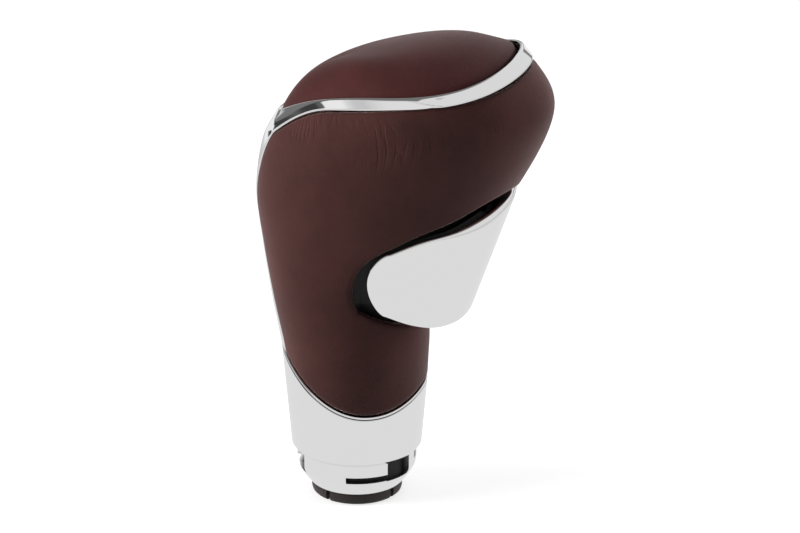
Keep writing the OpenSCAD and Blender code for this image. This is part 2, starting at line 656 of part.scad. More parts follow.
// The coil is a swept tube, 8 sides round the wire and 16 rings a turn
module plunger_spring() {
    low = base_top + bush_flange + spring_wire / 2 + 0.05;
    high = plunger_top - plunger_head_t - spring_wire / 2 - 0.05;
    coil_r = plunger_d / 2 + 0.4 + spring_wire / 2;
    sides = 8;
    steps = floor(spring_turns * 16);
    rings = [for (k = [0:steps]) let (a = 360 * spring_turns * k / steps)
        [for (j = [0:sides - 1]) let (b = 360 * j / sides, q = spring_wire / 2)
            [(coil_r + q * cos(b)) * cos(a), (coil_r + q * cos(b)) * sin(a),
                mix(low, high, k / steps) - q * sin(b)]]];
    color(steel) stack(rings);
}

grip_core();
leather_wrap();
trim_bow();
crown_pad();
pad_carrier();
sleeve();
lever_socket();
lever_clip();
guide_bush();
trigger_bracket();
bracket_screws();
trigger_pin();
pin_clips();
arm_bumper();
plunger_spring();
trigger_shell();
trigger_carrier();
plunger();
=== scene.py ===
import math

import bmesh
import bpy
import numpy as np
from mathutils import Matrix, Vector


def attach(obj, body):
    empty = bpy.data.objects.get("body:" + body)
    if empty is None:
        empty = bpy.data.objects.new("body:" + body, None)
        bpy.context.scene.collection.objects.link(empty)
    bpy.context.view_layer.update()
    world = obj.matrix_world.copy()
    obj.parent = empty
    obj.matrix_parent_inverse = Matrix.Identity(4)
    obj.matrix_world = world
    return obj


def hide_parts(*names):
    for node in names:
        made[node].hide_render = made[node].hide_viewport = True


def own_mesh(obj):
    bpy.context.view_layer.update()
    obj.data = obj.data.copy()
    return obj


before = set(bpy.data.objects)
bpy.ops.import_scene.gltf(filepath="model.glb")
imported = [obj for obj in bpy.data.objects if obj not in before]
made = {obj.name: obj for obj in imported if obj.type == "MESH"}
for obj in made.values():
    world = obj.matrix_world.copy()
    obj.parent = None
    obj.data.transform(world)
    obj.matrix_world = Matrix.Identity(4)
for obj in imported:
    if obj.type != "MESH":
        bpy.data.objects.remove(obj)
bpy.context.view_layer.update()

# Moulded core of the grip. One thick black injection moulding that everything else is wrapped
# on, clipped round or set into; its skin, in millimetres, is the shape that the leather and the
# trim follow. Only its recess behind the trigger stays in sight, with a fine moulded texture.
grip_slices = np.array([
    [-17.3, 14, 17.3, 14, 17.3, 0], [-18.45, 28, 18.45, 28, 18.45, 0],
    [-19.6, 42, 19.2, 42, 19.6, 0], [-22, 55.5, 20, 55.5, 19.6, 0.02],
    [-24.2, 70, 27, 68, 20.4, 0.05], [-25.7, 84, 40, 84, 22, 0.08],
    [-23.8, 97, 50.5, 107.5, 23.8, 0.2], [-20, 104.8, 42.2, 123, 22.6, 0.5]])
top_u = 7.0


def sin_deg(a):
    return np.sin(np.radians(a))


def cos_deg(a):
    return np.cos(np.radians(a))


def mix(a, b, f):
    return a + (b - a) * f


def smooth_value(values, u):
    """A smooth curve through evenly spaced values, read at u."""
    v = np.asarray(values, float)
    n = len(v)
    i = np.clip(np.floor(u).astype(int), 0, n - 2)
    f = u - i
    b, c = v[i], v[i + 1]
    a = np.where(i > 0, v[np.maximum(i - 1, 0)], 2 * b - c)
    d = np.where(i < n - 2, v[np.minimum(i + 2, n - 1)], 2 * c - b)
    return (2 * b + (c - a) * f + (2 * a - 5 * b + 4 * c - d) * f ** 2
            + (3 * b - a - 3 * c + d) * f ** 3) / 2


def ring_wave(t):
    return sin_deg(t) ** 2 * (1.1 - 5.3 * cos_deg(t))


def grip_skin(u, t):
    """Skin of the grip: u counts the slices upwards, t is the angle, 0 at the front."""
    u, t = np.broadcast_arrays(np.asarray(u, float), np.asarray(t, float))
    p = [smooth_value(grip_slices[:, k], u) for k in range(6)]
    q = (1 + cos_deg(t)) / 2
    lift = np.clip((u - 5.5) / 1.5, 0, 1)
    return np.stack([mix(p[0], p[2], q), p[4] * sin_deg(t) * (1 + p[5] * cos_deg(t)),
                     mix(p[1], p[3], q) + lift ** 2 * (3 - 2 * lift) * ring_wave(t)], -1)


def grip_normal(u, t):
    e = 0.03
    across = grip_skin(u, t + 1.5) - grip_skin(u, t - 1.5)
    up = grip_skin(np.minimum(u + e, top_u), t) - grip_skin(np.maximum(u - e, 0), t)
    n = np.cross(across, up)
    return n / np.linalg.norm(n, axis=-1, keepdims=True)


def add_node(tree, kind, inputs=None, **options):
    """A shader or geometry node with its inputs' values and its options set."""
    new = tree.nodes.new(kind)
    for key, value in options.items():
        setattr(new, key, value)
    for key, value in (inputs or {}).items():
        new.inputs[key].default_value = value
    return new


def start_finish(name, color, roughness, metallic=0.0):
    """A material with its Principled shader, and what it reads the surface by."""
    finish = bpy.data.materials.new(name)
    finish.use_nodes = True
    tree = finish.node_tree
    shader = tree.nodes["Principled BSDF"]
    shader.inputs["Base Color"].default_value = (*color, 1)
    shader.inputs["Roughness"].default_value = roughness
    shader.inputs["Metallic"].default_value = metallic
    place = add_node(tree, "ShaderNodeTexCoord")
    return finish, tree, shader, place


def start_effect(name, inputs, outputs):
    """An empty shader group with named float inputs, a place input and named outputs."""
    group = bpy.data.node_groups.new(name, "ShaderNodeTree")
    face = group.interface
    face.new_socket("Place", in_out="INPUT", socket_type="NodeSocketVector")
    for key, value in inputs.items():
        face.new_socket(key, in_out="INPUT", socket_type="NodeSocketFloat").default_value = value
    for key in outputs:
        face.new_socket(key, in_out="OUTPUT", socket_type="NodeSocketFloat")
    return group, group.nodes.new("NodeGroupInput"), group.nodes.new("NodeGroupOutput")


def use_effect(tree, group, place, **values):
    new = tree.nodes.new("ShaderNodeGroup")
    new.node_tree = group
    tree.links.new(place, new.inputs["Place"])
    for key, value in values.items():
        new.inputs[key.replace("_", " ").title()].default_value = value
    return new


def give_bump(tree, shader, height, distance, strength=1.0, after=None):
    bump = add_node(tree, "ShaderNodeBump", {"Strength": strength, "Distance": distance})
    tree.links.new(height, bump.inputs["Height"])
    if after is not None:
        tree.links.new(after.outputs["Normal"], bump.inputs["Normal"])
    tree.links.new(bump.outputs["Normal"], shader.inputs["Normal"])
    return bump


# Fine spark-eroded texture of mould steel, and soft unevenness from handling
mould_texture, into, out = start_effect(
    "mould_texture", {"Size": 2500.0, "Worn": 0.12}, ["Height", "Roughness"])
grit = add_node(mould_texture, "ShaderNodeTexNoise", {"Detail": 3.0, "Roughness": 0.6})
rub = add_node(mould_texture, "ShaderNodeTexNoise", {"Scale": 60.0, "Detail": 2.0})
even = add_node(mould_texture, "ShaderNodeMath", operation="MULTIPLY")
mould_texture.links.new(into.outputs["Place"], grit.inputs["Vector"])
mould_texture.links.new(into.outputs["Size"], grit.inputs["Scale"])
mould_texture.links.new(into.outputs["Place"], rub.inputs["Vector"])
mould_texture.links.new(rub.outputs["Fac"], even.inputs[0])
mould_texture.links.new(into.outputs["Worn"], even.inputs[1])
mould_texture.links.new(grit.outputs["Fac"], out.inputs["Height"])
mould_texture.links.new(even.outputs[0], out.inputs["Roughness"])


def moulded_finish(name, color, roughness, size, depth, worn=0.15):
    """Moulded polymer: one colour through, fine texture, and roughness that varies a little."""
    finish, tree, shader, place = start_finish(name, color, roughness)
    shader.inputs["Specular IOR Level"].default_value = 0.25
    skin = use_effect(tree, mould_texture, place.outputs["Object"], size=size, worn=worn)
    rough = add_node(tree, "ShaderNodeMath", {1: roughness - worn / 2}, operation="ADD")
    tree.links.new(skin.outputs["Roughness"], rough.inputs[0])
    tree.links.new(rough.outputs[0], shader.inputs["Roughness"])
    give_bump(tree, shader, skin.outputs["Height"], depth)
    return finish


def refinish(node, finish):
    made[node].data.materials.clear()
    made[node].data.materials.append(finish)


black_moulding = moulded_finish("black_moulding", (0.006, 0.006, 0.0065), 0.5, 2600, 0.00002)
refinish("grip_core", black_moulding)

# Leather wrap. Chrome-tanned dark brown hide with a thin foam backing, glued round the core,
# its edges skived, turned and tucked under the trim, into the sleeve and round the trigger's
# opening; where it is pulled over the head it keeps fine creases.
leather_t = 2.1
trim_turn, opening_turn = 1.1, 1.3
joint_gap = 0.3
gap_angle, gap_u = joint_gap / 20 * 57.3, joint_gap / 14
sleeve_foot_r, sleeve_foot_z, neck_height = 17.3, 14, 28
neck_flare, neck_mean_r = 2.3 / neck_height, 18.45
seam_low, seam_x = 27.8, 6.0
seam_back_rise, seam_back_x = 14.8, 18.7
seam_front_rise, seam_front_x = 4.2, 18.3
start_u = 2.05
open_t, open_bulge, open_low, open_high = 78.0, 7.5, 3.12, 4.3
open_sag, open_arch = 0.52, 0.88
ring_low_u, ring_sweep = 6.75, 0.5
spine_top_u, spine_top_half = 6.25, 22.0


def seam_at(x):
    """Height of the seam between leather and sleeve, lowest at seam_x."""
    back = seam_back_rise * (np.maximum(seam_x - x, 0) / (seam_x + seam_back_x)) ** 2
    front = seam_front_rise * (np.maximum(x - seam_x, 0) / (seam_front_x - seam_x)) ** 2.3
    return seam_low + back + front


def neck_radius(z):
    return sleeve_foot_r + neck_flare * (z - sleeve_foot_z)


def seam_height(t):
    return seam_at(neck_radius(seam_at(neck_mean_r * cos_deg(t))) * cos_deg(t))


def seam_u(t):
    return 2 * (seam_height(t) + joint_gap - sleeve_foot_z) / neck_height


def spine_half(u):
    return smooth_value([27, 20.5, 13, 8.5, 18.5, 34], u - 2)


def ring_low(t):
    a = np.abs(np.where(t > 180, t - 360, t))
    sweep = ring_sweep * (np.clip(a - 120, 0, 38) / 38) ** 1.9
    return ring_low_u - sweep - 0.05 * np.exp(-((a - 108) / 22) ** 2)


def opening_low(t):
    return open_low - open_sag * (1 - np.minimum(np.abs(t) / open_t, 1) ** 2)


def opening_high(t):
    a = np.abs(t)
    dip = 0.078 * np.exp(-((a - 51) / 13) ** 2) + 0.045 * np.exp(-((a - 71) / 8) ** 2)
    arch = open_arch * (1 - np.minimum(a / open_t, 1) ** 2.8)
    return open_high + arch - dip - 0.035 * np.exp(-(a / 12) ** 2)


def crowded(count, both=True):
    """Steps from 0 to 1 that crowd at the end, or at both ends, where edges turn in."""
    a = np.linspace(0, 1, count + 1)
    return (1 - np.cos(np.pi * a)) / 2 if both else np.sin(np.pi / 2 * a)


def from_edge(points, edges):
    """Distance of each point to the nearest of some polylines."""
    a = np.concatenate([e[:-1] for e in edges])
    d = np.concatenate([e[1:] for e in edges]) - a
    flat = points.reshape(-1, 3)
    length = np.maximum((d * d).sum(-1), 1e-12)
    near = []
    for part in np.array_split(flat, max(1, len(flat) * len(a) // 2_000_000 + 1)):
        v = part[:, None] - a
        f = np.clip((v * d).sum(-1) / length, 0, 1)
        near.append(np.linalg.norm(v - f[..., None] * d, axis=-1).min(1))
    return np.concatenate(near).reshape(points.shape[:-1])


def turned_in(distance, radius):
    """How far a surface has dropped where its edge turns in with that radius."""
    x = np.clip(distance, 0, radius)
    return radius - np.sqrt(np.maximum(radius ** 2 - (radius - x) ** 2, 0))


def new_piece(name, points, faces, finish, sharp=40):
    """A mesh from millimetres in the part's frame, smooth but for its real edges."""
    mesh = bpy.data.meshes.new(name)
    mesh.from_pydata((np.asarray(points, float) / 1000).tolist(), [], faces)
    work = bmesh.new()
    work.from_mesh(mesh)
    bmesh.ops.delete(work, geom=[v for v in work.verts if not v.link_faces], context="VERTS")
    work.to_mesh(mesh)
    work.free()
    mesh.polygons.foreach_set("use_smooth", [True] * len(mesh.polygons))
    mesh.set_sharp_from_angle(angle=math.radians(sharp))
    mesh.materials.append(finish)
    piece = bpy.data.objects.new(name, mesh)
    bpy.context.scene.collection.objects.link(piece)
    return piece


def closed_wall(outer, inner, gone=None, ring=False):
    """Points and faces of a wall between two grids, left open where cells are gone."""
    m, n = outer.shape[:2]
    cols = n if ring else n - 1
    kept = np.ones((m - 1, cols), bool) if gone is None else ~gone
    k = m * n
    faces = []
    for i, j in zip(*np.nonzero(kept)):
        right = (j + 1) % n
        a, b = int(i * n + j), int(i * n + right)
        c, d = int((i + 1) * n + right), int((i + 1) * n + j)
        faces += [(a, b, c, d), (a + k, d + k, c + k, b + k)]
        if i == 0 or not kept[i - 1, j]:
            faces.append((b, a, a + k, b + k))
        if i == m - 2 or not kept[i + 1, j]:
            faces.append((d, c, c + k, d + k))
        if (j == 0 and not ring) or not kept[i, (j - 1) % cols]:
            faces.append((a, d, d + k, a + k))
        if (j == cols - 1 and not ring) or not kept[i, (j + 1) % cols]:
            faces.append((c, b, b + k, c + k))
    return np.concatenate([outer.reshape(-1, 3), inner.reshape(-1, 3)]), faces


rows_low, rows_open, rows_high, cols_open, cols_side = 22, 34, 40, 50, 40
row_zone = np.repeat([0, 1, 2], [rows_low, rows_open, rows_high + 1])
row_at = np.concatenate([crowded(rows_low)[:-1], crowded(rows_open)[:-1], crowded(rows_high)])
col_at = np.arange(-cols_open - cols_side, cols_open + cols_side + 1)
zone, at = row_zone[:, None], row_at[:, None]
col = np.abs(col_at)[None]
edge_t = open_t + np.where(zone == 1, open_bulge * np.abs(sin_deg(180 * at)) ** 0.75, 0)
side_u = np.choose(zone, [mix(start_u, open_low, at), mix(open_low, open_high, at),
                          mix(open_high, spine_top_u, at)])
rear_t = 180 - np.where(side_u > 6, np.minimum(spine_half(side_u), spine_top_half),
                      spine_half(side_u)) - gap_angle
in_front = np.sin(np.pi / 2 * np.minimum(col / cols_open, 1))
in_side = (1 - np.cos(np.pi * np.clip((col - cols_open) / cols_side, 0, 1))) / 2
wrap_t = np.sign(col_at)[None] * np.where(
    col <= cols_open, edge_t * in_front, mix(edge_t, rear_t, in_side))
wrap_u = np.choose(zone, [
    mix(seam_u(wrap_t), opening_low(wrap_t), at),
    mix(opening_low(wrap_t), opening_high(wrap_t), at),
    mix(opening_high(wrap_t), ring_low(wrap_t) - gap_u, at)])
wrap_skin = grip_skin(wrap_u, wrap_t)
wrap_out = grip_normal(wrap_u, wrap_t)
first, last = cols_side, cols_side + 2 * cols_open
low_row, high_row = rows_low, rows_low + rows_open
wrap_edges = [wrap_skin[0], wrap_skin[-1], wrap_skin[:, 0], wrap_skin[:, -1]]
opening_edges = [wrap_skin[low_row, first:last + 1], wrap_skin[high_row, first:last + 1],
                 wrap_skin[low_row:high_row + 1, first], wrap_skin[low_row:high_row + 1, last]]
to_trim = from_edge(wrap_skin, wrap_edges)
to_opening = from_edge(wrap_skin, opening_edges)
sunk = turned_in(to_trim, trim_turn) + turned_in(to_opening, opening_turn)
fold_depth = 0.05
pull = np.exp(-((to_trim - 7) / 7) ** 2) * np.clip((wrap_u - 5.2) / 0.8, 0, 1) \
    * np.clip((np.abs(wrap_t) - 40) / 30, 0, 1) * np.clip((150 - np.abs(wrap_t)) / 20, 0, 1)
folds = np.sin(wrap_t * 0.62 + 2 * np.sin(wrap_t * 0.13)) * np.sin(wrap_t * 0.27 + 1.3)
sunk = sunk + fold_depth * pull * folds
gone = np.zeros((len(row_at) - 1, len(col_at) - 1), bool)
gone[low_row:high_row, first:last] = True
wrap_points, wrap_faces = closed_wall(
    wrap_skin - sunk[..., None] * wrap_out, wrap_skin - leather_t * wrap_out, gone)

# Grain of the hide: small uneven pebbles with fine pores, and slow changes of tone
hide_grain, into, out = start_effect(
    "hide_grain", {"Size": 1900.0, "Pores": 0.4}, ["Height", "Tone"])
bend = add_node(hide_grain, "ShaderNodeTexNoise", {"Scale": 700.0, "Detail": 2.0})
shift = add_node(hide_grain, "ShaderNodeVectorMath", operation="MULTIPLY_ADD")
shift.inputs[1].default_value = (0.0004, 0.0004, 0.0004)
pebbles = add_node(hide_grain, "ShaderNodeTexVoronoi", feature="DISTANCE_TO_EDGE")
flat_top = add_node(hide_grain, "ShaderNodeMapRange", {"From Max": 0.28},
                    interpolation_type="SMOOTHSTEP")
pores = add_node(hide_grain, "ShaderNodeTexNoise", {"Scale": 5200.0, "Detail": 2.0})
pore_depth = add_node(hide_grain, "ShaderNodeMath", operation="MULTIPLY")
grain_sum = add_node(hide_grain, "ShaderNodeMath", operation="ADD")
tone = add_node(hide_grain, "ShaderNodeTexNoise", {"Scale": 45.0, "Detail": 4.0, "Roughness": 0.6})
for start, end in [
        (into.outputs["Place"], bend.inputs["Vector"]), (bend.outputs["Color"], shift.inputs[0]),
        (into.outputs["Place"], shift.inputs[2]), (shift.outputs[0], pebbles.inputs["Vector"]),
        (into.outputs["Size"], pebbles.inputs["Scale"]),
        (pebbles.outputs["Distance"], flat_top.inputs["Value"]),
        (into.outputs["Place"], pores.inputs["Vector"]),
        (pores.outputs["Fac"], pore_depth.inputs[0]),
        (into.outputs["Pores"], pore_depth.inputs[1]),
        (flat_top.outputs["Result"], grain_sum.inputs[0]),
        (pore_depth.outputs[0], grain_sum.inputs[1]), (grain_sum.outputs[0], out.inputs["Height"]),
        (into.outputs["Place"], tone.inputs["Vector"]), (tone.outputs["Fac"], out.inputs["Tone"])]:
    hide_grain.links.new(start, end)


def leather_finish(name, dark, warm, sheen, crease_attribute=None):
    """Pigmented hide: two browns in slow patches, pebble grain, a soft satin top coat."""
    finish, tree, shader, place = start_finish(name, dark, 0.46)
    shader.inputs["Specular IOR Level"].default_value = 0.1
    shader.inputs["Sheen Weight"].default_value = sheen
    shader.inputs["Sheen Roughness"].default_value = 0.35
    shader.inputs["Sheen Tint"].default_value = (1.0, 0.78, 0.76, 1)
    grain = use_effect(tree, hide_grain, place.outputs["Object"], size=1900, pores=0.4)
    patch = add_node(tree, "ShaderNodeMapRange", {"From Min": 0.36, "From Max": 0.66})
    color = add_node(tree, "ShaderNodeMix", {6: (*dark, 1), 7: (*warm, 1)}, data_type="RGBA")
    rough = add_node(tree, "ShaderNodeMapRange", {"To Min": 0.4, "To Max": 0.54})
    tree.links.new(grain.outputs["Tone"], patch.inputs["Value"])
    tree.links.new(patch.outputs["Result"], color.inputs[0])
    tree.links.new(color.outputs[2], shader.inputs["Base Color"])
    tree.links.new(grain.outputs["Tone"], rough.inputs["Value"])
    tree.links.new(rough.outputs["Result"], shader.inputs["Roughness"])
    bump = give_bump(tree, shader, grain.outputs["Height"], 0.00003, 0.9)
    if crease_attribute:
        along = add_node(tree, "ShaderNodeUVMap", uv_map="round_and_up")
        stretch = add_node(tree, "ShaderNodeMapping")
        stretch.inputs["Scale"].default_value = (6.0, 0.9, 1)
        lines = add_node(tree, "ShaderNodeTexNoise",
                         {"Scale": 10.0, "Detail": 1.0, "Roughness": 0.5, "Distortion": 0.1})
        apart = add_node(tree, "ShaderNodeMath", {1: 0.5}, operation="SUBTRACT")
        either = add_node(tree, "ShaderNodeMath", operation="ABSOLUTE")
        thin = add_node(tree, "ShaderNodeMapRange",
                        {"From Max": 0.075, "To Min": -1.0, "To Max": 0.0},
                        interpolation_type="SMOOTHSTEP")
        mask = add_node(tree, "ShaderNodeAttribute", attribute_name=crease_attribute)
        depth = add_node(tree, "ShaderNodeMath", operation="MULTIPLY")
        here = add_node(tree, "ShaderNodeTexNoise", {"Scale": 9.0, "Detail": 1.0})
        some = add_node(tree, "ShaderNodeMapRange", {"From Min": 0.42, "From Max": 0.62})
        patchy = add_node(tree, "ShaderNodeMath", operation="MULTIPLY")
        for start, end in [
                (along.outputs["UV"], stretch.inputs["Vector"]),
                (stretch.outputs["Vector"], lines.inputs["Vector"]),
                (lines.outputs["Fac"], apart.inputs[0]), (apart.outputs[0], either.inputs[0]),
                (either.outputs[0], thin.inputs["Value"]),
                (along.outputs["UV"], here.inputs["Vector"]),
                (here.outputs["Fac"], some.inputs["Value"]),
                (some.outputs["Result"], patchy.inputs[0]), (mask.outputs["Fac"], patchy.inputs[1]),
                (thin.outputs["Result"], depth.inputs[0]), (patchy.outputs[0], depth.inputs[1])]:
            tree.links.new(start, end)
        give_bump(tree, shader, depth.outputs[0], 0.00014, 1.0, after=bump)
    return finish


wrap_leather = leather_finish(
    "wrap_leather", (0.034, 0.0128, 0.0115), (0.050, 0.0185, 0.0165), 0.3, "creased")
leather_cover = new_piece("leather_cover", wrap_points, wrap_faces, wrap_leather, 50)


def points_in(faces):
    """The points that a wall's faces use, which are those that new_piece keeps, in order."""
    return np.unique(np.concatenate([np.array(f) for f in faces]))


def write_values(piece, name, used, outer_values, inner_values):
    """A value for each point of a wall piece, on its outer and on its inner face."""
    flat = np.concatenate([outer_values.ravel(), inner_values.ravel()])
    attribute = piece.data.attributes.new(name, "FLOAT", "POINT")
    attribute.data.foreach_set("value", flat[used].astype(np.float32))


wrap_used = points_in(wrap_faces)
write_values(leather_cover, "creased", wrap_used, pull, 0 * pull)
uv_per_degree, uv_per_slice = 0.0037, 0.14
around = np.concatenate([(wrap_t * uv_per_degree).ravel()] * 2)[wrap_used]
upward = np.concatenate([(wrap_u * uv_per_slice).ravel()] * 2)[wrap_used]
corner = np.zeros(len(leather_cover.data.loops), np.int32)
leather_cover.data.loops.foreach_get("vertex_index", corner)
uv = leather_cover.data.uv_layers.new(name="round_and_up")
uv.data.foreach_set("uv", np.stack([around[corner], upward[corner]], -1).ravel())
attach(leather_cover, "handle")
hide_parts("leather_wrap")

# Trim bow. One zinc casting, polished and chrome plated: a ring round the top pad and a spine
# down the back of the grip, clipped over the turned edges of the leather. Its face is crowned
# and its edges are rolled, with the faint waviness that plated castings keep.
handling, into, out = start_effect(
    "handling", {"Size": 90.0, "Low": 0.03, "High": 0.09}, ["Roughness"])
smears = add_node(handling, "ShaderNodeTexNoise",
                  {"Detail": 5.0, "Roughness": 0.65, "Distortion": 0.6})
spread_of = add_node(handling, "ShaderNodeMapRange", {"From Min": 0.4, "From Max": 0.68})
handling.links.new(into.outputs["Place"], smears.inputs["Vector"])
handling.links.new(into.outputs["Size"], smears.inputs["Scale"])
handling.links.new(smears.outputs["Fac"], spread_of.inputs["Value"])
handling.links.new(into.outputs["Low"], spread_of.inputs["To Min"])
handling.links.new(into.outputs["High"], spread_of.inputs["To Max"])
handling.links.new(spread_of.outputs["Result"], out.inputs["Roughness"])


def eased(f):
    """0 to 1 with a soft start and a soft end."""
    f = np.clip(f, 0, 1)
    return f * f * (3 - 2 * f)


def metal_finish(name, color, low, high, waves, wave_depth, size=90, painted_shade=None):
    """Bright metal whose polish varies where it is handled, over slow surface waves."""
    finish, tree, shader, place = start_finish(name, color, low, 1.0)
    # Painted shade: where the attribute is high, the base colour is mixed towards near black,
    # standing in for shade that falls there
    if painted_shade:
        shade_mask = add_node(tree, "ShaderNodeAttribute", attribute_name=painted_shade)
        darker = add_node(tree, "ShaderNodeMix", {6: (*color, 1), 7: (0.03, 0.028, 0.028, 1)},
                          data_type="RGBA")
        tree.links.new(shade_mask.outputs["Fac"], darker.inputs[0])
        tree.links.new(darker.outputs[2], shader.inputs["Base Color"])
    polish = use_effect(tree, handling, place.outputs["Object"], size=size, low=low, high=high)
    tree.links.new(polish.outputs["Roughness"], shader.inputs["Roughness"])
    wavy = add_node(tree, "ShaderNodeTexNoise", {"Scale": waves, "Detail": 1.0})
    tree.links.new(place.outputs["Object"], wavy.inputs["Vector"])
    give_bump(tree, shader, wavy.outputs["Fac"], wave_depth, 0.6)
    return finish


chrome_look = ((0.885, 0.885, 0.885), 0.02, 0.055, 130, 0.00001)
plated_chrome = metal_finish("plated_chrome", *chrome_look)
bow_turn, bow_wall, rim_wall = 0.45, 2.0, 0.9
spine_rows, spine_cols, ring_rows, ring_cols = 70, 20, 26, 180
bow_i = np.arange(spine_rows + ring_rows + 1)[:, None]
bow_j = np.arange(spine_cols + ring_cols)[None]
up_spine = crowded(spine_rows)[np.minimum(bow_i, spine_rows)]
up_ring = crowded(ring_rows)[np.clip(bow_i - spine_rows, 0, ring_rows)]
across_spine = 2 * crowded(spine_cols)[np.minimum(bow_j, spine_cols)] - 1
ring_t = np.where(bow_j <= spine_cols, 180 + spine_top_half * across_spine,
                  mix(180 + spine_top_half, 540 - spine_top_half, (bow_j - spine_cols) / ring_cols))
spine_t = 180 + spine_half(mix(start_u, spine_top_u, up_spine)) * across_spine
on_spine = (bow_i < spine_rows) & (bow_j <= spine_cols)
bow_t = np.where(on_spine, spine_t, ring_t)
bow_u = np.where(bow_i >= spine_rows, mix(ring_low(ring_t), top_u, up_ring),
                 np.where(bow_j <= spine_cols, mix(seam_u(spine_t), spine_top_u, up_spine),
                          ring_low(ring_t)))
bow_skin = grip_skin(bow_u, bow_t)
bow_out = grip_normal(bow_u, bow_t)
bow_gone = np.zeros((len(bow_i) - 1, bow_j.size), bool)
bow_gone[:spine_rows, spine_cols:] = True
rim_line = np.concatenate([bow_skin[-1], bow_skin[-1, :1]])
bow_edges = [rim_line,
             np.concatenate([bow_skin[spine_rows, spine_cols:], bow_skin[spine_rows, :1]]),
             bow_skin[:spine_rows + 1, 0], bow_skin[:spine_rows + 1, spine_cols],
             bow_skin[0, :spine_cols + 1]]
to_bow_edge = from_edge(bow_skin, bow_edges)
over_ring = np.where(bow_i > spine_rows, up_ring, 0) * np.ones_like(bow_t)
round_t = np.abs((bow_t + 180) % 360 - 180)
# Two facets that meet in a ridge, which crosses the ring's face on its way round
ridge = 0.14 + 0.72 * eased((round_t - 66) / 15) - 0.44 * eased((round_t - 114) / 38)
rise = np.minimum(over_ring / ridge, (1 - over_ring) / (1 - ridge))
rise = mix(rise, eased(rise), eased((round_t - 138) / 20))
crown_height = 0.5 + 0.22 * eased((round_t - 25) / 25) * eased((86 - round_t) / 14)
crowned = crown_height * rise * np.where(bow_j <= spine_cols, across_spine ** 2, 1)
spine_crown = 0.12 * np.where(bow_j <= spine_cols, 1 - across_spine ** 2, 0)
proud = crowned + spine_crown * (1 - over_ring) ** 2
bow_face = bow_skin + (proud - turned_in(to_bow_edge, bow_turn))[..., None] * bow_out
wall_t = np.where(bow_i > spine_rows, mix(bow_wall, rim_wall, up_ring), bow_wall)
wall_t = wall_t * np.ones_like(bow_t)
bow_points, bow_faces = closed_wall(
    bow_face, bow_skin - wall_t[..., None] * bow_out, bow_gone, True)
chrome_bow = new_piece("chrome_bow", bow_points, bow_faces, plated_chrome)
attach(chrome_bow, "handle")
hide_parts("trim_bow")

# Plate under the top pad. A flat black moulding that the pad's leather is stretched over and
# stapled to, pressed down into the ring; it can't be seen once the pad is in.
refinish("pad_carrier", black_moulding)

# Crowned top pad. The same hide as the wrap, a little redder, pulled over a domed foam cushion;
# its edge is rounded over and disappears between the pad's plate and the chrome ring.
pad_inset, pad_edge, pad_turn, crown_h = 1.1, 2.0, 1.6, 9.6
rim_back_x, rim_back_z, rim_front_x, rim_front_z = grip_slices[-1, :4]
rim_slope = (rim_front_z - rim_back_z) / (rim_front_x - rim_back_x)
apex = np.array([0, 0, rim_back_z - rim_slope * rim_back_x])


def rim(t, d):
    """Upper edge of the trim ring moved inwards by d."""
    a = grip_skin(top_u, t + 2) - grip_skin(top_u, t - 2)
    n = np.stack([a[..., 1], -a[..., 0], 0 * a[..., 0]], -1)
    n /= np.linalg.norm(n, axis=-1, keepdims=True)
    n[..., 2] = rim_slope * n[..., 0]
    return grip_skin(top_u, t) - d * n


pad_cols = 132
pad_t = np.arange(pad_cols) * 360 / pad_cols
pad_s = 1 - np.linspace(0, 1, 36)[:-1] ** 1.5
set_back = 0.55
pad_back = set_back * np.clip(cos_deg(pad_t), 0, 1)
pad_rim = rim(pad_t, pad_inset + pad_back[:, None])
crown = mix(apex, pad_rim[None], pad_s[:, None, None])
crown[..., 2] += (ring_wave(pad_t)[None] * (pad_s ** 2 - pad_s)[:, None]
                  + crown_h * (1 - pad_s ** 3)[:, None])
to_rim = from_edge(crown, [np.concatenate([pad_rim, pad_rim[:1]])])
crown[..., 2] -= turned_in(to_rim, pad_turn)
crown[..., 2] += (0.2 - 0.9 * pad_back) * np.exp(-((to_rim - 5.5) / 4) ** 2) * (to_rim > 0.01)
foot = [rim(pad_t, pad_inset + pad_back[:, None] + d) - [0, 0, z]
        for d, z in ((0.7, pad_edge), (0.4, 1.9), (0.3, 1.7))]
pad_rings = np.concatenate([np.array(foot), crown])
pad_points = np.concatenate([pad_rings.reshape(-1, 3),
                             [apex - [0, 0, pad_edge], apex + [0, 0, crown_h]]])
rings_n = len(pad_rings)
pad_faces = [(i * pad_cols + j, i * pad_cols + (j + 1) % pad_cols,
              (i + 1) * pad_cols + (j + 1) % pad_cols, (i + 1) * pad_cols + j)
             for i in range(rings_n - 1) for j in range(pad_cols)]
pad_faces += [((j + 1) % pad_cols, j, rings_n * pad_cols) for j in range(pad_cols)]
pad_faces += [((rings_n - 1) * pad_cols + j, (rings_n - 1) * pad_cols + (j + 1) % pad_cols,
               rings_n * pad_cols + 1) for j in range(pad_cols)]
pad_leather = leather_finish(
    "pad_leather", (0.036, 0.0112, 0.0115), (0.051, 0.0160, 0.0155), 0.08)
top_cushion = new_piece("top_cushion", pad_points, pad_faces, pad_leather, 60)
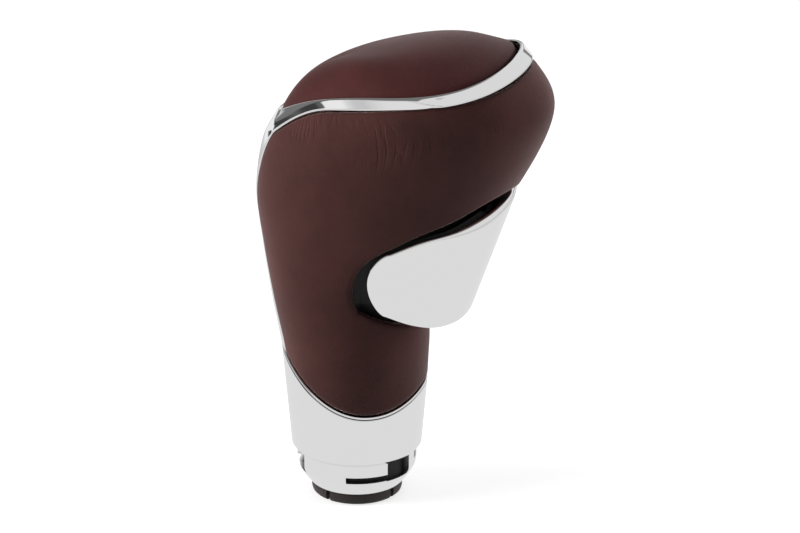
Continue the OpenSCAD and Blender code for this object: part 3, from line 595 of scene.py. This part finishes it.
# The foam presses the hide out while its edge is held in the ring: a short cloth run
held_rings, most_moved = 5, 0.0006
held = top_cushion.vertex_groups.new(name="held")
held.add(list(range(held_rings * pad_cols)) + [rings_n * pad_cols], 1.0, "REPLACE")
cloth = top_cushion.modifiers.new("hide", "CLOTH")
cloth.settings.quality = 6
cloth.settings.mass = 0.1
cloth.settings.tension_stiffness = 12
cloth.settings.compression_stiffness = 12
cloth.settings.shear_stiffness = 6
cloth.settings.bending_stiffness = 0.6
cloth.settings.vertex_group_mass = "held"
cloth.settings.use_pressure = True
cloth.settings.uniform_pressure_force = 4
cloth.settings.effector_weights.gravity = 0
for step in range(1, 21):
    bpy.context.scene.frame_set(step)
pressed = top_cushion.evaluated_get(bpy.context.evaluated_depsgraph_get()).data
after = np.zeros(len(pressed.vertices) * 3)
pressed.vertices.foreach_get("co", after)
before = np.zeros(len(pressed.vertices) * 3)
top_cushion.data.vertices.foreach_get("co", before)
moved = (after - before).reshape(-1, 3)
reach = np.linalg.norm(moved, axis=1, keepdims=True)
moved *= np.minimum(1, most_moved / np.maximum(reach, 1e-9))
top_cushion.modifiers.clear()
top_cushion.vertex_groups.clear()
top_cushion.data.vertices.foreach_set("co", before + moved.ravel())
bpy.context.scene.frame_set(1)
finer = top_cushion.modifiers.new("finer", "SUBSURF")
finer.levels = finer.render_levels = 1
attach(top_cushion, "handle")
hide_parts("crown_pad")

# Chrome sleeve. A plated moulding that holds the leather's lower edge behind a rolled bead; the
# spigot below it takes the gaiter's ring, which turns home in three L-shaped bayonet slots.
slot_turn, slot_arc, leg_arc, window_half = -51, 29, 41, 10
slot_low, slot_high, leg_low, leg_high, window_low = 7.4, 13.0, 7.7, 9.4, 10.4
cone_foot_z, plain_below_seam, seam_mean_r = 14.2, 3, 18.3
sleeve_wall, bead_turn, groove_at, groove_width, groove_depth = 2.1, 0.35, 0.76, 0.15, 0.4
slot_starts = [slot_turn + 120 * k for k in range(3)]
cuts = [(a, a + slot_arc, slot_low, slot_high) for a in slot_starts]
cuts += [(a - leg_arc, a, leg_low, leg_high) for a in slot_starts]
cuts += [(-window_half, window_half, window_low, slot_high)]
cut_angles = {round(a % 360, 3) for c in cuts for a in c[:2]}
sleeve_t = np.array(sorted(cut_angles | {a for a in range(0, 360, 2)
                                         if all(abs(a - c) > 0.7 for c in cut_angles)}))
spigot_z = np.array([3.0, 3.15, 3.5, 4.3, 5.2, 6.1, 6.8, 7.4, 7.7, 8.2, 8.6, 9.1, 9.6, 10.4, 11.4,
                     12.3, 12.7, 13.0, 13.35, 13.6, 13.8, 13.95])
spigot_r = np.interp(spigot_z, [3, 3.15, 3.5, 6.1, 8.3, 9.1, 12.6, 12.85, 13.35, 13.8, 13.95],
                     [12.2, 12.45, 12.7, 14.6, 15.8, 15.95, 15.95, 16.1, 16.6, 17.0, 17.15])
spigot_in = np.interp(spigot_z, [3, 4.85, 6.25, 14], [11.05, 11.05, 13.8, 13.8])
edge_steps = np.array([0, 0.03, 0.08, 0.15, 0.24, 0.35, 0.44, 0.52, 0.6, 0.68, 0.76, 0.84, 0.92,
                       1.0, 1.1, 1.24, 1.5, 1.9, 2.5])[::-1]
seam_z = seam_height(sleeve_t)
seam_steep = np.cos(np.arctan(np.gradient(seam_z, np.radians(sleeve_t)) / seam_mean_r))
cone_top_z = seam_z - plain_below_seam / seam_steep
cone_z = np.concatenate([mix(cone_foot_z, cone_top_z, np.linspace(0, 1, 22)[:, None]),
                         seam_z - edge_steps[:, None] / seam_steep])
below = (seam_z - cone_z) * seam_steep
groove = np.exp(-((below - groove_at) / groove_width) ** 2)
cone_r = neck_radius(cone_z) - turned_in(below, bead_turn) - groove_depth * groove
sleeve_z = np.concatenate([np.repeat(spigot_z[:, None], len(sleeve_t), 1), cone_z])
sleeve_r = np.concatenate([np.repeat(spigot_r[:, None], len(sleeve_t), 1), cone_r])
inner_r = np.concatenate([np.repeat(spigot_in[:, None], len(sleeve_t), 1),
                          neck_radius(cone_z) - sleeve_wall])


def turned(r, z, t):
    r, z, t = np.broadcast_arrays(r, z, t)
    return np.stack([r * cos_deg(t), r * sin_deg(t), z], -1)


mid_z = (sleeve_z[1:, 0] + sleeve_z[:-1, 0]) / 2
mid_t = sleeve_t + np.diff(np.append(sleeve_t, 360)) / 2
slots = np.zeros((len(mid_z), len(mid_t)), bool)
for a, b, low, high in cuts:
    slots |= ((mid_z > low) & (mid_z < high))[:, None] & ((mid_t - a) % 360 < b - a)[None]
slots[len(spigot_z) - 1:] = False
sleeve_points, sleeve_faces = closed_wall(
    turned(sleeve_r, sleeve_z, sleeve_t[None]), turned(inner_r, sleeve_z, sleeve_t[None]),
    slots, True)
sleeve_chrome = metal_finish("sleeve_chrome", *chrome_look, painted_shade="painted_shade")
chrome_sleeve = new_piece("chrome_sleeve", sleeve_points, sleeve_faces, sleeve_chrome, 48)
# Painted shade: the groove under the rolled bead is darkened to near black where it lies in shade,
# and the whole inner face of the sleeve is darkened as painted shade inside the tube
painted_dark = np.concatenate([np.zeros((len(spigot_z), len(sleeve_t))), groove])
write_values(chrome_sleeve, "painted_shade", points_in(sleeve_faces), painted_dark, np.ones_like(painted_dark))
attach(chrome_sleeve, "handle")
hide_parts("sleeve")

# Lever socket. A moulded tube of glass-filled black nylon, pushed into the core from below;
# the ring at its foot is cut into four fingers that spread as it snaps on to the lever.
glass_nylon = moulded_finish("glass_nylon", (0.024, 0.0195, 0.0185), 0.5, 3200, 0.000025)
cut_turn, cut_half = -31, 2.9
finger_cuts = [(cut_turn + 90 * k - cut_half, cut_turn + 90 * k + cut_half) for k in range(4)]
cut_sides = {round(a % 360, 3) for c in finger_cuts for a in c}
socket_t = np.array(sorted(cut_sides | {a for a in range(0, 360, 3)
                                        if all(abs(a - c) > 1 for c in cut_sides)}))
# Each row of the wall: radius and height outside, then radius and height inside
socket_wall = np.array([
    [11.2, 0, 7.1, 0], [11.6, 0.12, 7.1, 0.1], [11.9, 0.4, 7.1, 0.4], [12.1, 1.1, 7.1, 1.1],
    [12.1, 2.6, 7.1, 2.6], [11.95, 2.83, 7.1, 2.8], [10.9, 2.85, 7.1, 3], [10.9, 10, 7.1, 10],
    [10.9, 21.8, 7.1, 21.8], [10.9, 21.9, 8.5, 21.8], [10.9, 28.2, 8.5, 28.2],
    [10.9, 28.3, 7.1, 28.2], [10.9, 36, 7.1, 36], [10.9, 36.1, 4.2, 36], [10.9, 43.05, 4.2, 43.05],
    [10.9, 43.1, 4.92, 43.05], [10.9, 45.4, 4.92, 45.4], [10.7, 45.8, 4.92, 45.8],
    [10.3, 46, 4.92, 46]])
socket_mid = (socket_t + np.diff(np.append(socket_t, socket_t[0] + 360)) / 2) % 360
fingers, cut_rows = np.zeros((len(socket_wall) - 1, len(socket_t)), bool), 7
for a, b in finger_cuts:
    fingers[:cut_rows] |= ((socket_mid - a) % 360 < b - a)[None]
socket_points, socket_faces = closed_wall(
    turned(socket_wall[:, :1], socket_wall[:, 1:2], socket_t[None]),
    turned(socket_wall[:, 2:3], socket_wall[:, 3:], socket_t[None]), fingers, True)
snap_socket = new_piece("snap_socket", socket_points, socket_faces, glass_nylon, 35)
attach(snap_socket, "handle")
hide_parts("lever_socket")

# Clip in the lever's bore. A rolled strip of spring steel that springs into the groove of the
# bore and bites on the lever.
spring_steel = metal_finish("spring_steel", (0.42, 0.43, 0.45), 0.22, 0.42, 900, 0.00001, 400)
refinish("lever_clip", spring_steel)

# Guide bush. Turned from natural acetal, with a flange that rests on the bracket; it keeps the
# plunger straight over the release rod.
natural_acetal = moulded_finish("natural_acetal", (0.62, 0.59, 0.52), 0.38, 1200, 0.00001, 0.1)
refinish("guide_bush", natural_acetal)

# Bracket, its screws, the hinge pin and the pin's clips. The bracket is blanked and folded from
# zinc-plated sheet; the screws have hexagon sockets, and the pin is ground and grooved.
plated_sheet = metal_finish("plated_sheet", (0.5, 0.5, 0.48), 0.25, 0.45, 600, 0.00002, 250)
turned_steel = metal_finish("turned_steel", (0.55, 0.56, 0.58), 0.15, 0.3, 1500, 0.00001, 300)
refinish("trigger_bracket", plated_sheet)
refinish("bracket_screws", turned_steel)
refinish("trigger_pin", turned_steel)
refinish("pin_clips", spring_steel)

# Rubber stop. A small black cylinder of nitrile rubber pressed into the core's ceiling, which
# the trigger's arm comes back against.
stop_rubber = moulded_finish("stop_rubber", (0.015, 0.015, 0.015), 0.8, 1500, 0.00003)
refinish("arm_bumper", stop_rubber)

# Return spring. Four and a half turns of 0.8 mm spring wire round the plunger, which shorten as
# the trigger is squeezed; the coil is made along its own helix.
coil_tree = bpy.data.node_groups.new("wound_spring", "GeometryNodeTree")
coil_sizes = {"Turns": 4.5, "Coil Radius": 0.0038, "Wire Radius": 0.0004, "Height": 0.0071,
              "Foot": 0.04985}
for key, value in coil_sizes.items():
    socket = coil_tree.interface.new_socket(key, in_out="INPUT", socket_type="NodeSocketFloat")
    socket.default_value = value
coil_tree.interface.new_socket("Geometry", in_out="OUTPUT", socket_type="NodeSocketGeometry")
coil_in = coil_tree.nodes.new("NodeGroupInput")
coil_out = coil_tree.nodes.new("NodeGroupOutput")
helix = add_node(coil_tree, "GeometryNodeCurveSpiral", {"Resolution": 40})
wire = add_node(coil_tree, "GeometryNodeCurvePrimitiveCircle", {"Resolution": 14})
wound = add_node(coil_tree, "GeometryNodeCurveToMesh", {"Fill Caps": True})
raised = coil_tree.nodes.new("GeometryNodeTransform")
foot_at = coil_tree.nodes.new("ShaderNodeCombineXYZ")
shaded = add_node(coil_tree, "GeometryNodeSetShadeSmooth")
coated = add_node(coil_tree, "GeometryNodeSetMaterial", {"Material": spring_steel})
real = coil_tree.nodes.new("GeometryNodeRealizeInstances")
for start, end in [
        (coil_in.outputs["Turns"], helix.inputs["Rotations"]),
        (coil_in.outputs["Coil Radius"], helix.inputs["Start Radius"]),
        (coil_in.outputs["Coil Radius"], helix.inputs["End Radius"]),
        (coil_in.outputs["Height"], helix.inputs["Height"]),
        (coil_in.outputs["Wire Radius"], wire.inputs["Radius"]),
        (helix.outputs["Curve"], wound.inputs["Curve"]),
        (wire.outputs["Curve"], wound.inputs["Profile Curve"]),
        (coil_in.outputs["Foot"], foot_at.inputs["Z"]),
        (foot_at.outputs[0], raised.inputs["Translation"]),
        (wound.outputs["Mesh"], raised.inputs["Geometry"]),
        (raised.outputs["Geometry"], shaded.inputs["Geometry"]),
        (shaded.outputs["Geometry"], real.inputs["Geometry"]),
        (real.outputs["Geometry"], coated.inputs["Geometry"]),
        (coated.outputs["Geometry"], coil_out.inputs["Geometry"])]:
    coil_tree.links.new(start, end)


def grown_mesh(name, tree, values):
    """The plain mesh that a Geometry Nodes tree makes with these values."""
    holder = bpy.data.objects.new(name, bpy.data.meshes.new(name))
    bpy.context.scene.collection.objects.link(holder)
    modifier = holder.modifiers.new("grow", "NODES")
    modifier.node_group = tree
    for socket in tree.interface.items_tree:
        if socket.in_out == "INPUT" and socket.name in values:
            modifier[socket.identifier] = values[socket.name]
    evaluated = holder.evaluated_get(bpy.context.evaluated_depsgraph_get())
    mesh = bpy.data.meshes.new_from_object(evaluated)
    holder.modifiers.clear()
    holder.data = mesh
    return holder


return_coil = grown_mesh("return_coil", coil_tree, coil_sizes)
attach(return_coil, "handle")
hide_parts("plunger_spring")
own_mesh(return_coil)

# Trigger shell. Drawn and plated like the trim, it wraps round the front of the grip; its edges
# are turned back, so that they catch the light as thin lines, and its nose dives behind the
# leather's edge.
wing_f, wing_bulge = 78.0, 10.3
shell_wall, shell_edge_turn, lip_roll = 1.8, 0.6, 1.7
face_x, face_z, face_front, face_half = 4.7, 53.8, 30.4, 18.6
face_rake, face_spread = 0.35, 0.1


def trigger_edge(values, f):
    """Height of an edge of the shell, from values evenly spaced from its front to its ends."""
    return smooth_value(values, np.minimum(np.abs(f) / wing_f, 1) * (len(values) - 1))


def trigger_face(f, z, inset):
    """The shell's surface: f is the angle round it, 0 at the front."""
    r = (np.abs(cos_deg(f)) ** 3 + np.abs(sin_deg(f)) ** 3) ** (-1 / 3)
    front = face_front + face_rake * (z - face_z) - inset
    half = face_half + face_spread * (z - face_z) - inset
    return np.stack([face_x + (front - face_x) * r * cos_deg(f), half * r * sin_deg(f),
                     z * np.ones_like(f)], -1)


shell_b = crowded(56)[:, None]
shell_a = 2 * crowded(110)[None] - 1
shell_f = (wing_f + wing_bulge * sin_deg(180 * shell_b) ** 0.6) * shell_a
shell_low = trigger_edge([55.2, 54.9, 54, 53.2, 53, 54.1, 56.2], shell_f)
shell_top = trigger_edge([86.5, 86.4, 85.3, 82.7, 79.8, 77.4, 73.8], shell_f)
shell_z = mix(shell_low, shell_top, shell_b)
shell_face = trigger_face(shell_f, shell_z, 0)
shell_edges = [shell_face[0], shell_face[-1], shell_face[:, 0], shell_face[:, -1]]
lip_turn = turned_in(from_edge(shell_face, [shell_face[-1]]),
                     shell_edge_turn + lip_roll * eased((62 - np.abs(shell_f)) / 25))
edge_turn = turned_in(from_edge(shell_face, shell_edges), shell_edge_turn)
shell_points, shell_faces = closed_wall(
    trigger_face(shell_f, shell_z, np.maximum(edge_turn, lip_turn)),
    trigger_face(shell_f, shell_z, shell_wall + lip_turn))
trigger_skin = new_piece("trigger_skin", shell_points, shell_faces, plated_chrome)
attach(trigger_skin, "trigger")
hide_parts("trigger_shell")

# Trigger carrier and plunger. The carrier is a ribbed black moulding that clips into the shell,
# turns on the pin and presses the plunger with its arm; the plunger is natural acetal.
refinish("trigger_carrier", black_moulding)
refinish("plunger", natural_acetal)

# Studio. A pale floor that fades into the white backdrop and can't be seen from below, a large
# soft light on each side and a weak soft one above. Bright metal mirrors none of the lights: it
# sees the paper and the room that are made for it here.
floor_half, floor_z = 6, -0.0002
stage_mesh = bpy.data.meshes.new("studio_floor")
stage_mesh.from_pydata([(-floor_half, -floor_half, floor_z), (floor_half, -floor_half, floor_z),
                        (floor_half, floor_half, floor_z), (-floor_half, floor_half, floor_z)],
                       [], [(0, 1, 2, 3)])
studio_floor = bpy.data.objects.new("studio_floor", stage_mesh)
bpy.context.scene.collection.objects.link(studio_floor)
paper = bpy.data.materials.new("white_paper")
paper.use_nodes = True
tree = paper.node_tree
card = tree.nodes["Principled BSDF"]
card.inputs["Base Color"].default_value = (0.5, 0.5, 0.5, 1)
card.inputs["Roughness"].default_value = 0.9
card.inputs["Specular IOR Level"].default_value = 0.1
card.inputs["Emission Color"].default_value = (1, 1, 1, 1)


def set_greys(ramp, ends, between):
    """Grey levels of a colour ramp: at its two ends, then at the positions between."""
    for element, (position, grey) in zip(ramp.color_ramp.elements, ends):
        element.position = position
        element.color = (grey, grey, grey, 1)
    for position, grey in between:
        ramp.color_ramp.elements.new(position).color = (grey, grey, grey, 1)


far = add_node(tree, "ShaderNodeMapRange",
               {"From Min": 0.4, "From Max": 1.6, "To Min": 0.62, "To Max": 1.0})
ray = tree.nodes.new("ShaderNodeLightPath")
glow = add_node(tree, "ShaderNodeMath", operation="MULTIPLY")
mirrored_floor = add_node(tree, "ShaderNodeEmission", {"Color": (1, 1, 1, 1)})
spot = tree.nodes.new("ShaderNodeTexCoord")
away = add_node(tree, "ShaderNodeVectorMath", operation="LENGTH")
fall = tree.nodes.new("ShaderNodeValToRGB")
set_greys(fall, ((0.2, 0.79), (0.9, 0.9)), ((0.36, 0.6), (0.5, 0.62)))
pick_floor = tree.nodes.new("ShaderNodeMixShader")
from_below = tree.nodes.new("ShaderNodeNewGeometry")
unseen = tree.nodes.new("ShaderNodeBsdfTransparent")
one_sided = tree.nodes.new("ShaderNodeMixShader")
for start, end in [
        (spot.outputs["Object"], away.inputs[0]), (away.outputs["Value"], fall.inputs["Fac"]),
        (away.outputs["Value"], far.inputs["Value"]), (far.outputs["Result"], glow.inputs[1]),
        (fall.outputs["Color"], mirrored_floor.inputs["Color"]),
        (ray.outputs["Is Camera Ray"], glow.inputs[0]),
        (glow.outputs[0], card.inputs["Emission Strength"]),
        (ray.outputs["Is Glossy Ray"], pick_floor.inputs[0]),
        (card.outputs["BSDF"], pick_floor.inputs[1]),
        (mirrored_floor.outputs[0], pick_floor.inputs[2]),
        (from_below.outputs["Backfacing"], one_sided.inputs[0]),
        (pick_floor.outputs[0], one_sided.inputs[1]), (unseen.outputs[0], one_sided.inputs[2]),
        (one_sided.outputs[0], tree.nodes["Material Output"].inputs["Surface"])]:
    tree.links.new(start, end)
stage_mesh.materials.append(paper)

room = bpy.data.worlds.new("white_room")
bpy.context.scene.world = room
room.use_nodes = True
tree = room.node_tree
tree.nodes.clear()
ray = tree.nodes.new("ShaderNodeLightPath")
toward = tree.nodes.new("ShaderNodeTexCoord")


def darker_toward(direction, start, full, low, high=1.0):
    """High everywhere, but falling to low within an angle round a direction of the room."""
    facing = add_node(tree, "ShaderNodeVectorMath", operation="DOT_PRODUCT")
    facing.inputs[1].default_value = Vector(direction).normalized()
    soft = add_node(tree, "ShaderNodeMapRange", {"To Min": high, "To Max": low},
                    interpolation_type="SMOOTHSTEP")
    soft.inputs["From Min"].default_value = math.cos(math.radians(start))
    soft.inputs["From Max"].default_value = math.cos(math.radians(full))
    tree.links.new(toward.outputs["Generated"], facing.inputs[0])
    tree.links.new(facing.outputs["Value"], soft.inputs["Value"])
    return soft.outputs["Result"]


# Bright metal sees white paper and a white room, with a low dark wall all round and a darker
# corner of the ceiling at the left
height = tree.nodes.new("ShaderNodeSeparateXYZ")
walls = tree.nodes.new("ShaderNodeValToRGB")
set_greys(walls, ((0.5, 0.6), (0.555, 0.95)), ((0.508, 0.22), (0.535, 0.28)))
upright = add_node(tree, "ShaderNodeMath", {1: 0.5, 2: 0.5}, operation="MULTIPLY_ADD")
tree.links.new(toward.outputs["Generated"], height.inputs[0])
tree.links.new(height.outputs["Z"], upright.inputs[0])
tree.links.new(upright.outputs[0], walls.inputs["Fac"])
mirrored_room = add_node(tree, "ShaderNodeMath", operation="MULTIPLY")
tree.links.new(walls.outputs["Color"], mirrored_room.inputs[0])
tree.links.new(darker_toward((-0.7, 0.0, 0.7), 60, 50, 0.24), mirrored_room.inputs[1])
mirrored = tree.nodes.new("ShaderNodeBackground")
ambient = tree.nodes.new("ShaderNodeBackground")
backdrop = add_node(tree, "ShaderNodeBackground", {"Color": (1, 1, 1, 1), "Strength": 1.0})
pick_glossy = tree.nodes.new("ShaderNodeMixShader")
pick_camera = tree.nodes.new("ShaderNodeMixShader")
sky = tree.nodes.new("ShaderNodeOutputWorld")
behind = add_node(tree, "ShaderNodeMath", operation="MAXIMUM")
for start, end in [
        (mirrored_room.outputs[0], mirrored.inputs["Strength"]),
        (darker_toward((0.15, -0.9, 0.42), 85, 30, 0.03, 0.4), ambient.inputs["Strength"]),
        (ray.outputs["Is Glossy Ray"], pick_glossy.inputs[0]),
        (ambient.outputs[0], pick_glossy.inputs[1]), (mirrored.outputs[0], pick_glossy.inputs[2]),
        (ray.outputs["Is Camera Ray"], behind.inputs[0]),
        (ray.outputs["Is Transmission Ray"], behind.inputs[1]),
        (behind.outputs[0], pick_camera.inputs[0]),
        (pick_glossy.outputs[0], pick_camera.inputs[1]),
        (backdrop.outputs[0], pick_camera.inputs[2]),
        (pick_camera.outputs[0], sky.inputs["Surface"])]:
    tree.links.new(start, end)


def softbox(name, place, aim, size, power):
    light = bpy.data.lights.new(name, "AREA")
    light.shape = "RECTANGLE"
    light.size, light.size_y = size
    light.energy = power
    lamp = bpy.data.objects.new(name, light)
    lamp.location = place
    lamp.rotation_euler = (Vector(aim) - Vector(place)).to_track_quat("-Z", "Y").to_euler()
    bpy.context.scene.collection.objects.link(lamp)
    lamp.visible_glossy = False


grip_middle = (0, 0, 0.07)
softbox("left_light", (-0.88, -0.26, 0.16), grip_middle, (0.6, 0.8), 26)
softbox("right_light", (0.94, 0.1, 0.25), grip_middle, (0.6, 0.8), 13)
softbox("top_light", (0.0, 0.15, 1.0), grip_middle, (0.7, 0.7), 2.2)

# Camera at the photograph's angle, azimuth 8 and elevation 20 degrees
aim = Vector((0.008, 0, 0.060))
lens = bpy.data.cameras.new("camera")
lens.sensor_width = 36
lens.lens = 107.2
lens.shift_x = 0.0168
lens.shift_y = 0.0144
lens.clip_start = 0.05
camera = bpy.data.objects.new("camera", lens)
camera.location = (0.0887, -0.5750, 0.2749)
camera.rotation_euler = (aim - camera.location).to_track_quat("-Z", "Y").to_euler()
bpy.context.scene.collection.objects.link(camera)
bpy.context.scene.camera = camera
bpy.context.scene.view_settings.view_transform = "Standard"
